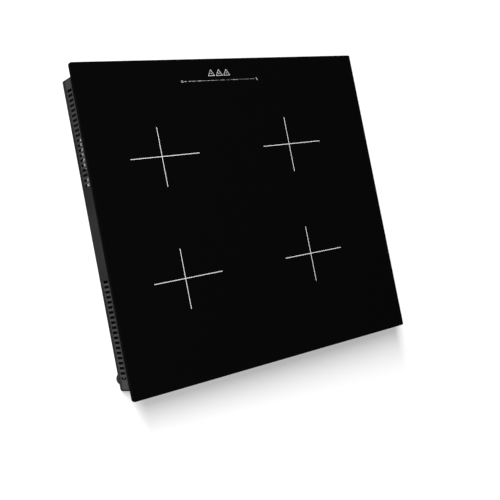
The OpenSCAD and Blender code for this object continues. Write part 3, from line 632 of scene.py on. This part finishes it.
def cross_outline(left, right, low, high, half):
    """Two bars that cross at the origin, as one outline."""
    return [(left, -half), (-half, -half), (-half, low), (half, low), (half, -half), (right, -half),
            (right, half), (half, half), (half, high), (-half, high), (-half, half), (left, half)]


def facing(direction, place):
    """Puts a form's z axis along a direction, with its origin at a place."""
    turn = Vector(direction).to_track_quat("Z", "Y").to_matrix().to_4x4()
    return Matrix.Translation(place) @ turn


def screw(head_r, head_h, shank_r, shank_l, pitch=0.8):
    """Pan-head screw with a cross recess. Its seat is at z = 0 and its head is above."""
    form = Shape()
    crown = [(head_r, 0), (head_r, 0.4), (0.94 * head_r, 0.7), (0.8 * head_r, 0.92), (0.64 * head_r, 1)]
    form.rings([[(x, y, h * head_h) for x, y in ring_of(r)] for r, h in crown], caps=False)
    form.cap([ring_of(head_r)], 0)
    slot = cross_outline(-0.5 * head_r, 0.5 * head_r, -0.5 * head_r, 0.5 * head_r, 0.13 * head_r)
    bottom = [(0.6 * x, 0.6 * y) for x, y in slot]
    form.cap([ring_of(0.64 * head_r), slot], head_h)
    depth = 0.6 * head_h
    form.rings([[(x, y, head_h) for x, y in slot], [(x, y, head_h - depth) for x, y in bottom]], caps=False)
    form.cap([bottom], head_h - depth)
    turns = int(shank_l / pitch)
    profile = [(shank_r * 0.7, 0)]
    for i in range(turns):
        profile.append((shank_r * 0.98, -(i + 0.5) * pitch))
        profile.append((shank_r * 0.74, -(i + 1) * pitch))
    profile.append((shank_r * 0.5, -shank_l))
    form.rings([[(x, y, z) for x, y in ring_of(r, 20)] for r, z in reversed(profile)])
    return form


# ---------------------------------------------------------------- printed marks on the glass

INK_T = 0.02


def ink(form, outline, holes=()):
    """A mark as thick as the ink, on top of the glass."""
    form.plate(outline, GLASS_TOP, GLASS_TOP + INK_T, holes)


def zone_marks():
    """One thin cross for each cooking zone, whose four arms all differ in length."""
    form = Shape()
    left, right, low, high, half_width = -58.2, 72.6, -48.8, 47.8, 0.5
    arms = cross_outline(left, right, low, high, half_width)
    for x in (-162.9, 103.2):
        for y in (-94.4, 102.5):
            ink(form, [(x + a, y + b) for a, b in arms])
    form.make("zone_marks", "chassis", PRINT)


def symbol_marks():
    """Three small outlined triangles with a dot in each, in place of the real symbols."""
    form = Shape()
    low, high, half = 230.2, 241.2, 7
    for x in (-35.8, -19.4, -3.8):
        outer = [(x - half, low), (x + half, low), (x, high)]
        inner = [(x - half + 1.1, low + 0.6), (x + half - 1.1, low + 0.6), (x, high - 1.2)]
        ink(form, rounded(outer, 0.8), [rounded(inner, 0.4)])
        ink(form, ring_of(0.8, 16, (x, low + 4)))
    form.make("symbol_marks", "chassis", PRINT)


def small_rule():
    """A fine broken rule with a ring and a slash at its ends, in place of a line of small print."""
    form = Shape()
    dice = random.Random(11)
    middle_y, ring_x, start_x, end_x = 222.3, -97, -93, 53.6
    ink(form, ring_of(2.1, 20, (ring_x, middle_y)), [ring_of(1.4, 20, (ring_x, middle_y))])
    x = start_x
    while x < end_x - 0.6:
        length = dice.choice((1.1, 1.6, 2.4, 5, 8))
        low = middle_y - dice.uniform(0.15, 0.45)
        high = middle_y + dice.uniform(0.15, 0.45)
        ink(form, rectangle(x, low, min(x + length, end_x), high))
        x += length + dice.choice((1, 1.4, 2.2, 3.6))
    ink(form, [(59.6, 219.6), (60.9, 219.6), (58.7, 224.6), (57.4, 224.6)])
    form.make("small_rule", "chassis", SMALL_PRINT)


# ---------------------------------------------------------------- chassis fittings

def rail_screws():
    form = Shape()
    places = []
    for box in solids("rail_screws"):
        x, y, z = middle(box)
        side = math.copysign(1, y)
        seat = max(abs(box[0][1]), abs(box[1][1])) - 1
        places.append(facing((0, side, 0), (x, side * seat, z)))
    form.copy(screw(3.6, 1, 1.95, 6), places)
    piece = form.make("rail_screw_set", "chassis", FINISHES["plated_steel"])
    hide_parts("rail_screws")


def feet():
    """Moulded feet: a tread of rings below, a groove round the waist and a countersunk well for the screw."""
    form = Shape()
    foot = Shape()
    profile = [
        (5.0, 0.5), (5.4, 0.05), (6.0, 0.05), (6.3, 0.6), (6.7, 0.6), (7.0, 0.0), (7.5, 0.0), (8.3, 0.3),
        (8.9, 0.9), (9.3, 1.7), (9.5, 3.6), (9.15, 3.9), (9.15, 4.3), (9.55, 4.6), (9.9, 7.6), (9.8, 8.0),
        (1.95, 8.0), (1.95, 5.0), (4.7, 5.0), (5.0, 4.7)]
    foot.rings([[(x, y, h) for x, y in ring_of(r, 64)] for r, h in profile], closed=True)
    for box in solids("rubber_feet"):
        x, y, _ = middle(box)
        form.copy(foot, [Matrix.Translation((x, y, 0))])
    piece = form.make("foot_set", "chassis", FINISHES["black_rubber"], smooth=50)
    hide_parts("rubber_feet")


def foot_screws():
    form = Shape()
    places = [facing((0, 0, -1), (*middle(box)[:2], 5)) for box in solids("foot_screws")]
    form.copy(screw(3.9, 2.4, 1.95, 8), places)
    piece = form.make("foot_screw_set", "chassis", FINISHES["spring_steel"])
    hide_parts("foot_screws")


def board_screws():
    form = Shape()
    places = [facing((0, 0, 1), (*middle(box)[:2], BOARD_TOP_Z)) for box in solids("board_screws")]
    form.copy(screw(3, 1.8, 1.3, 3, 0.6), places)
    piece = form.make("board_screw_set", "chassis", FINISHES["plated_steel"])
    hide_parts("board_screws")


def floor_fittings():
    """Screws that come up through the floor into the posts, two pressed beads and a blank rating plate."""
    form = Shape()
    under = FLOOR_Z - 1
    places = [facing((0, 0, -1), (*middle(box)[:2], under)) for box in solids("floor_posts")]
    form.copy(screw(3.1, 1.5, 1.4, 1), places)
    form.make("floor_screw_set", "chassis", FINISHES["plated_steel"])

    beads = Shape()
    for y in (24, 160):
        rings = []
        for inset, drop in ((0, 0), (0.6, 0.5), (1.6, 0.95), (3, 1.2)):
            outline = rounded(rectangle(-190 + inset, y - 6 + inset, 190 - inset, y + 6 - inset), 5.9 - inset)
            rings.append([(a, b, under - drop) for a, b in reversed(outline)])
        beads.rings(rings)
    beads.make("floor_beads", "chassis", FINISHES["powder_coat"], smooth=60)

    plate = Shape()
    x0, y0, x1, y1 = -205, 62, -115, 118
    fields = [rounded(rectangle(x0 + 5, y0 + 5 + 16 * i, x1 - 5, y0 + 17 + 16 * i), 1.5) for i in range(3)]
    plate.plate(rounded(rectangle(x0, y0, x1, y1), 4), under - 0.5, under, fields)
    plate.plate(rounded(rectangle(x0 + 2, y0 + 2, x1 - 2, y1 - 2), 3), under - 0.25, under)
    plate.make("rating_plate", "chassis", FINISHES["white_plastic"])


# ---------------------------------------------------------------- coil packs

def coil_windings():
    """Flat spirals of litz wire: an outer band, a crossing and an inner band, in one length."""
    bands = ((86.3, 61.7, 8), (61.7, 50.3, 0.3), (50.3, 23.7, 8.6))
    steps, middle_z, half_width, half_height = 72, 58, 1.48, 2.45
    for side, zone_x in ZONE_X.items():
        for row, zone_y in ZONE_Y.items():
            path, angle = [], math.pi
            for r0, r1, turns in bands:
                count = int(turns * steps)
                for i in range(count):
                    s = i / count
                    share = s * s * (3 - 2 * s) if turns < 1 else s
                    r = r0 + (r1 - r0) * share
                    path.append((zone_x + r * math.cos(angle), zone_y + r * math.sin(angle), middle_z))
                    angle += TURN / steps
            form = Shape()
            form.tube(path, half_width, (0, 0, 1), sides=10, tall=half_height)
            node = f"coil_winding_{row}_{side}"
            piece = form.make(f"litz_spiral_{row}_{side}", f"coil_pack_{side}",
                              FINISHES["copper_litz"], smooth=60)
            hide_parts(node)


def coil_springs():
    """Springs with their first and last turns laid close."""
    radius, wire, turns, steps = 5, 0.6, 7, 28
    height = PLATE_Z - FLOOR_Z
    end_rise = 2.2 * wire
    open_rise = (height - 2 * wire - 2 * end_rise) / (turns - 2)
    for side in ZONE_X:
        form = Shape()
        for box in solids(f"coil_springs_{side}"):
            x, y, _ = middle(box)
            path = []
            for i in range(turns * steps + 1):
                turn = i / steps
                opened = min(max(turn - 1, 0), turns - 2)
                z = FLOOR_Z + wire + (turn - opened) * end_rise + opened * open_rise
                path.append((x + radius * math.cos(TURN * turn), y + radius * math.sin(TURN * turn), z))
            form.tube(path, wire, (0, 0, 1), sides=10)
        piece = form.make(f"spring_set_{side}", "chassis", FINISHES["spring_steel"],
                          smooth=60)
        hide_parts(f"coil_springs_{side}")
        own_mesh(piece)


def rear_route(s):
    """Route of a lead from the rear coil, with a spare loop beside the vents and x from the unit's middle."""
    y, lane, twist = ZONE_Y["rear"], LANE_X, TWIST_R * s
    return [
        (-88.6, y + 6 * s, 58.5), (-97, y + 6 * s, 58.5), (-106, 108 + 5 * s, 57),
        (-112 + 2.2 * s, 118 + 3 * s, 53), (lane + twist, 133, 46), (lane + twist, 145, 39.5),
        (lane + twist, 150, 32), (lane + twist, 145, 25), (lane, 137, 24 + twist),
        (lane - twist, 129, 24), (lane, 121, 23.5 - twist), (lane + twist, 113.5, 23.5),
        (-110.5 + 3 * s, 107 + 3.5 * s, 22.3), (-104 + s, y + 6 * s, 20.2), (-96, y + 6 * s, 19.15),
        (-85.3, y + 6 * s, 19)]


def front_route(s):
    """Route of a lead from the front coil, with x from the unit's middle."""
    y, lane, twist = ZONE_Y["front"], LANE_X, TWIST_R * s
    return [
        (-88.6, y + 6 * s, 58.5), (-97, y + 6 * s, 58.5), (-105, -86 + 8 * s, 57.5),
        (-112 + 2.2 * s, -66 + 4 * s, 54),
        (lane + twist, -35, 46), (lane + twist, 10, 35.5), (lane + twist, 48, 27.5), (lane, 60, 25 - twist),
        (lane - twist, 71, 24), (-113 - 2.5 * s, 80.5 + 2 * s, 24), (-110.4 - 1.8 * s, 86.1 + 4.1 * s, 24.3),
        (-106 - 0.8 * s, 87 + 4.8 * s, 24), (-102 + 0.4 * s, 83 + 4.8 * s, 22.3),
        (-98.4 + 0.6 * s, 76.5 + 5.1 * s, 20.2), (-93, 72 + 6 * s, 19.15), (-85.3, 72 + 6 * s, 19)]


def coil_leads():
    """Braided leads of the coils."""
    for side, zone_x in ZONE_X.items():
        form = Shape()
        for s in (-1, 1):
            for route, across in ((rear_route(s), (1, 1, 0.02)), (front_route(s), (0.02, 0.02, 1))):
                path = smooth_path([(zone_x + x, y, z) for x, y, z in route])
                form.tube(path, 2, across, sides=16)
        piece = form.make(f"braided_leads_{side}", "chassis", FINISHES["white_sleeve"],
                          smooth=60)
        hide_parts(f"coil_leads_{side}")
        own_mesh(piece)


# ---------------------------------------------------------------- electronics

def chip(w, d, h):
    """Flat package with bent legs along its two long sides, on z = 0."""
    form = Shape()
    form.plate(rounded(rectangle(-w / 2, -d / 2, w / 2, d / 2), 0.3, 2), 0.25, h)
    count = int(w / 1.27)
    for i in range(count):
        x = (i - (count - 1) / 2) * 1.27
        for s in (-1, 1):
            y0, y1 = sorted((s * d / 2, s * (d / 2 + 1.2)))
            form.box((x - 0.2, y0, 0.05), (x + 0.2, y1, 0.3))
    return form


def can(r, h):
    """Small electrolytic capacitor with a rolled groove near its foot and a dished top."""
    form = Shape()
    profile = [(r * 0.9, 0), (r, 0.3), (r, 1.2), (r * 0.9, 1.6), (r, 2.0), (r, h - 0.4), (r - 0.4, h),
               (r * 0.7, h), (r * 0.6, h - 0.3)]
    form.rings([[(x, y, z) for x, y in ring_of(q, 24)] for q, z in profile])
    return form


def resistor():
    """Axial resistor that lies along x on its two wires."""
    form = Shape()
    r, half = 1.3, 3.25
    profile = [(0.3, -half - 2), (0.3, -half), (r * 0.8, -half), (r, -half + 0.5), (r, -half + 1.2),
               (r * 0.86, -half + 1.7), (r * 0.86, half - 1.7), (r, half - 1.2), (r, half - 0.5),
               (r * 0.8, half), (0.3, half), (0.3, half + 2)]
    form.rings([[(h, a, r + 0.1 + b) for a, b in ring_of(q, 16)] for q, h in profile])
    return form


def free_places(dice, area, keep_out, size, count):
    """Up to count places in area that clear the boxes to keep out of, and each other, by size."""
    x0, y0, x1, y1 = area
    out = []
    for _ in range(count * 12):
        if len(out) == count:
            break
        x, y = dice.uniform(x0 + size, x1 - size), dice.uniform(y0 + size, y1 - size)
        if all(abs(x - a) > size + w or abs(y - b) > size + d for a, b, w, d in keep_out):
            out.append((x, y))
            keep_out.append((x, y, size, size))
    return out


def small_parts(name, area, taken, top, seed):
    """Chips, cans and resistors on the free part of a board."""
    dice = random.Random(seed)
    sets = (("chips", "black_epoxy", [chip(9, 6, 1.6), chip(5, 4, 1.3)], 6, 9),
            ("cans", "capacitor_case", [can(3.2, 9), can(4.1, 12)], 5.5, 6),
            ("resistors", "ceramic", [resistor()], 5.5, 9))
    for kind, slot, forms, size, count in sets:
        form = Shape()
        for x, y in free_places(dice, area, taken, size, count):
            turn = Matrix.Rotation(dice.choice((0, math.pi / 2)), 4, "Z")
            form.copy(dice.choice(forms), [Matrix.Translation((x, y, top)) @ turn])
        form.make(f"{name}_{kind}", "chassis", FINISHES[slot])


def taken_on(low_z, *nodes):
    """Middle and half size, in x and y, of every solid of these nodes that rises above a board."""
    out = []
    for low, high in (box for node in nodes for box in solids(node)):
        if high[2] > low_z:
            out.append((*middle((low, high))[:2], (high[0] - low[0]) / 2, (high[1] - low[1]) / 2))
    return out


def power_board_parts():
    for number, (side, x) in enumerate(ZONE_X.items()):
        transformer, lead_terminals = (x - 58, 2, 15, 17), (x - 80, 88, 7, 28)
        supply_socket, ribbon_socket = (x + 80, 110, 6, 11), (x + 67, -34, 10, 6)
        taken = taken_on(BOARD_TOP_Z, f"heat_sink_{side}", f"capacitors_{side}", "board_screws")
        taken += [transformer, lead_terminals, supply_socket, ribbon_socket]
        small_parts(f"power_board_{side}", (x - 86, -38, x + 86, 148), taken, BOARD_TOP_Z, 5 + number)


def filter_board_parts():
    taken = taken_on(FILTER_TOP_Z, "filter_choke", "filter_capacitors")
    low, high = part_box("filter_board")
    x0, y0, x1, y1 = (c / MM for c in (low.x, low.y, high.x, high.y))
    mains_socket, supply_socket = (x0 + 18, y1 - 7, 18, 9), (212, 117, 6, 18)
    taken += [mains_socket, supply_socket]
    small_parts("filter_board", (x0 + 1, y0 + 1, x1 - 1, y1 - 1), taken, FILTER_TOP_Z, 9)


def choke_winding():
    """Two halves of enamelled wire wound round the ring core."""
    core = solids("filter_choke")[0]
    cx, cy, _ = middle(core)
    z_mid, r_mid, half_r, half_z, wire = core[1][2] - 7.5, 14, 6.1, 8.6, 0.9
    turns, steps = 11, 24
    form = Shape()
    for start in (0.12, 0.62):
        path = []
        for i in range(turns * steps + 1):
            around = TURN * (start + 0.38 * i / (turns * steps)) - TURN * 0.06
            a = TURN * i / steps
            # A rounded square section, so that the wire hugs the flat sides of the core
            ca, sa = math.cos(a), math.sin(a)
            r = r_mid + half_r * math.copysign(abs(ca) ** 0.5, ca)
            z = z_mid + half_z * math.copysign(abs(sa) ** 0.5, sa)
            path.append((cx + r * math.cos(around), cy + r * math.sin(around), z))
        form.tube(path, wire, (0.01, 0.02, 1), sides=8)
    form.make("choke_winding", "chassis", FINISHES["motor_winding"], smooth=60)


def mains_route(i):
    x = MAINS_X + 11 * i
    return [(x, 206, 16), (x, 196, 15), (x, 184, 14), (x, 172, 17), (x, 160, 22), (x, 150.3, 23)]


def right_supply_route(i):
    y = 106 + 8 * i
    return [(SUPPLY_X, y, 23), (203, y, 23), (196, y, 21), (189.3, y, 21)]


def left_supply_route(i):
    return [(SUPPLY_X, 122 + 6 * i, 24), (203.5 + i, 122.5 + 6 * i, 24), (199.5 + 3 * i, 127 + 6 * i, 21),
            (199 + 3.4 * i, 138 + 3 * i, 17), (199 + 3.4 * i, 148, 14), (199 + 3.4 * i, 155 + i, 13),
            (194 + 5 * i, 160 + 4.5 * i, 12), (180, 161 + 5 * i, 11), (50, 161 + 5 * i, 11),
            (-30, 161 + 5 * i, 11), (-50 - 5 * i, 155 + 5 * i, 12), (-57 - 5 * i, 138, 18),
            (-59 - 4 * i, 122 + 6 * i, 21), (-68, 106 + 8 * i, 21), (-75.7, 106 + 8 * i, 21)]


def mains_leads():
    """Leads from the terminal block to the filter board, and from there to both power boards."""
    form = Shape()
    for i in range(3):
        form.tube(smooth_path(mains_route(i)), 1.6, (1, 0, 0), sides=14)
    for i in range(2):
        form.tube(smooth_path(right_supply_route(i)), 1.6, (0, 0, 1), sides=14)
        form.tube(smooth_path(left_supply_route(i)), 1.6, (0, 0, 1), sides=14)
    piece = form.make("insulated_leads", "chassis", FINISHES["wire_insulation"], smooth=60)
    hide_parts("mains_leads")


# ---------------------------------------------------------------- terminal cover

def cover_ribs():
    """Raised grip ribs on the outer face of the terminal cover."""
    low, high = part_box("terminal_cover")
    x0, x1, y, z1 = low.x / MM + 9, high.x / MM - 9, high.y / MM, high.z / MM
    form = Shape()
    for i in range(4):
        z = z1 - 5 - 2.4 * i
        section = [(y - 0.2, z - 0.7), (y + 0.25, z - 0.6), (y + 0.5, z), (y + 0.25, z + 0.6),
                   (y - 0.2, z + 0.7)]
        form.rings([[(x, a, b) for a, b in section] for x in (x0, x0 + 0.6, x1 - 0.6, x1)])
    form.make("cover_ribs", "cover", FINISHES["black_plastic"], smooth=50)


def soften_edges():
    """Small radii on the moulded and sawn CAD parts, whose shapes stay as they are."""
    radii = {"terminal_box": 0.4, "terminal_cover": 0.3, "terminal_block": 0.3, "touch_holder": 0.4,
             "filter_capacitors": 0.8, "capacitors_left": 0.8, "capacitors_right": 0.8,
             "ferrite_bars_left": 0.3, "ferrite_bars_right": 0.3, "zone_displays": 0.2,
             "electronics_tray_left": 0.4, "electronics_tray_right": 0.4, "floor_posts": 0.3}
    for node, radius in radii.items():
        piece = frame["nodes"][node]
        weld = piece.modifiers.new("weld", "WELD")
        weld.merge_threshold = 0.00001
        bevel = piece.modifiers.new("edges", "BEVEL")
        bevel.width = radius * MM
        bevel.segments = 2
        bevel.limit_method = "ANGLE"
        bevel.angle_limit = math.radians(50)


zone_marks()
symbol_marks()
small_rule()
rail_screws()
feet()
foot_screws()
board_screws()
floor_fittings()
coil_windings()
coil_springs()
coil_leads()
power_board_parts()
filter_board_parts()
choke_winding()
mains_leads()
cover_ribs()
soften_edges()


# ---------------------------------------------------------------- stage

def node_in(tree, kind, operation=None, **inputs):
    """A new node, whose sockets are named with _ for a space."""
    node = tree.nodes.new(kind)
    if operation:
        node.operation = operation
    for key, value in inputs.items():
        node.inputs[key.replace("_", " ")].default_value = value
    return node


def make_floor():
    """Wide white floor that glows more from 0.5 m to 2 m out, and is clear when seen from below."""
    mesh = bpy.data.meshes.new("floor")
    mesh.from_pydata([(x, y, 0) for x, y in rectangle(-12, -12, 12, 12)], [], [(0, 1, 2, 3)])
    material = bpy.data.materials.new("floor")
    material.use_nodes = True
    tree = material.node_tree
    tree.nodes.clear()
    out = node_in(tree, "ShaderNodeOutputMaterial")
    diffuse = node_in(tree, "ShaderNodeBsdfDiffuse", Color=(0.68, 0.68, 0.68, 1))
    glow = node_in(tree, "ShaderNodeEmission", Color=(1, 1, 1, 1))
    geometry = node_in(tree, "ShaderNodeNewGeometry")
    distance = node_in(tree, "ShaderNodeVectorMath", "LENGTH")
    rise = node_in(tree, "ShaderNodeMapRange", From_Min=0.5, From_Max=2.0, To_Min=0.365, To_Max=1.0)
    clear = node_in(tree, "ShaderNodeBsdfTransparent")
    both = node_in(tree, "ShaderNodeAddShader")
    sides = node_in(tree, "ShaderNodeMixShader")
    for source, target in (
            (geometry.outputs["Position"], distance.inputs[0]),
            (distance.outputs["Value"], rise.inputs["Value"]),
            (rise.outputs["Result"], glow.inputs["Strength"]),
            (diffuse.outputs[0], both.inputs[0]),
            (glow.outputs[0], both.inputs[1]),
            (geometry.outputs["Backfacing"], sides.inputs["Fac"]),
            (both.outputs[0], sides.inputs[1]),
            (clear.outputs[0], sides.inputs[2]),
            (sides.outputs[0], out.inputs["Surface"])):
        tree.links.new(source, target)
    mesh.materials.append(material)
    floor = bpy.data.objects.new("floor", mesh)
    bpy.context.scene.collection.objects.link(floor)
    floor.visible_glossy = False


def make_world():
    """White behind the object, nearly dark to its reflections, and a faint fill on its surfaces."""
    world = bpy.data.worlds.new("studio")
    bpy.context.scene.world = world
    world.use_nodes = True
    tree = world.node_tree
    background = tree.nodes["Background"]
    background.inputs["Color"].default_value = (1, 1, 1, 1)
    ray = node_in(tree, "ShaderNodeLightPath")
    seen = node_in(tree, "ShaderNodeMapRange", To_Min=0.12, To_Max=1.0)
    gloss = node_in(tree, "ShaderNodeMapRange", To_Min=1.0, To_Max=0.02)
    strength = node_in(tree, "ShaderNodeMath", "MULTIPLY")
    for source, target in (
            (ray.outputs["Is Camera Ray"], seen.inputs["Value"]),
            (ray.outputs["Is Glossy Ray"], gloss.inputs["Value"]),
            (seen.outputs["Result"], strength.inputs[0]),
            (gloss.outputs["Result"], strength.inputs[1]),
            (strength.outputs["Value"], background.inputs["Strength"])):
        tree.links.new(source, target)


def area_light(name, place, target, width, height, power):
    """Rectangular light in watts that faces a target."""
    data = bpy.data.lights.new(name, "AREA")
    data.shape = "RECTANGLE"
    data.size = width
    data.size_y = height
    data.energy = power
    light = bpy.data.objects.new(name, data)
    light.location = place
    light.rotation_mode = "QUATERNION"
    light.rotation_quaternion = (Vector(target) - Vector(place)).to_track_quat("-Z", "Y")
    bpy.context.scene.collection.objects.link(light)


make_floor()
make_world()
area_light("key", (-4.6, 5.4, 6.0), (-4.6, 5.4, 0), width=2.2, height=8.4, power=1750)
area_light("side", (-1.1, -0.8, 0.11), (-0.27, -0.25, 0.04), width=0.5, height=0.14, power=12)
bpy.context.scene.view_settings.view_transform = "Standard"
